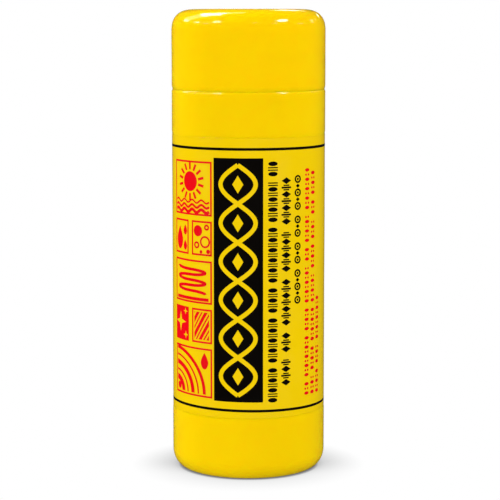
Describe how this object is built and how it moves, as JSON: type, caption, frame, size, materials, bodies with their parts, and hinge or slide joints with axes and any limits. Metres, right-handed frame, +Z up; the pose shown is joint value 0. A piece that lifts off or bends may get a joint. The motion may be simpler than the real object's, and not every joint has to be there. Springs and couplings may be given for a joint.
{
  "type": "rolled chamois cloth in a storage canister",
  "caption": "Folded and rolled synthetic chamois in a glossy cylindrical plastic canister with a printed film wrap and a smooth push-on cap.",
  "frame": {"origin": "middle of the ring that the canister stands on, in the plane of that ring", "axes": "+Z up along the canister's axis towards the cap, -Y out of the middle of the printed front, +X to the right of someone who faces the print"},
  "size_m": [0.075, 0.075, 0.226],
  "materials": {
    "yellow_plastic": "glossy blow-moulded and injection-moulded polyethylene",
    "printed_film": "glossy printed film, a little deeper yellow than the plastic",
    "black_ink": "glossy black printing ink on the film",
    "red_ink": "glossy red printing ink on the film",
    "damp_cloth": "matt, finely porous synthetic chamois"
  },
  "bodies": {
    "canister": {"canister_body": "yellow_plastic", "label_film": "printed_film"},
    "roll": {"rolled_chamois": "damp_cloth"},
    "cap": {"push_on_cap": "yellow_plastic"}
  },
  "joints": [
    {"name": "roll_draw", "type": "slide", "parent": "canister", "child": "roll", "axis": [0, 0, 1], "range_m": [0, 0.215]},
    {"name": "cap_lift", "type": "slide", "parent": "roll", "child": "cap", "axis": [0, 0, 1], "range_m": [0, 0.06]}
  ]
}
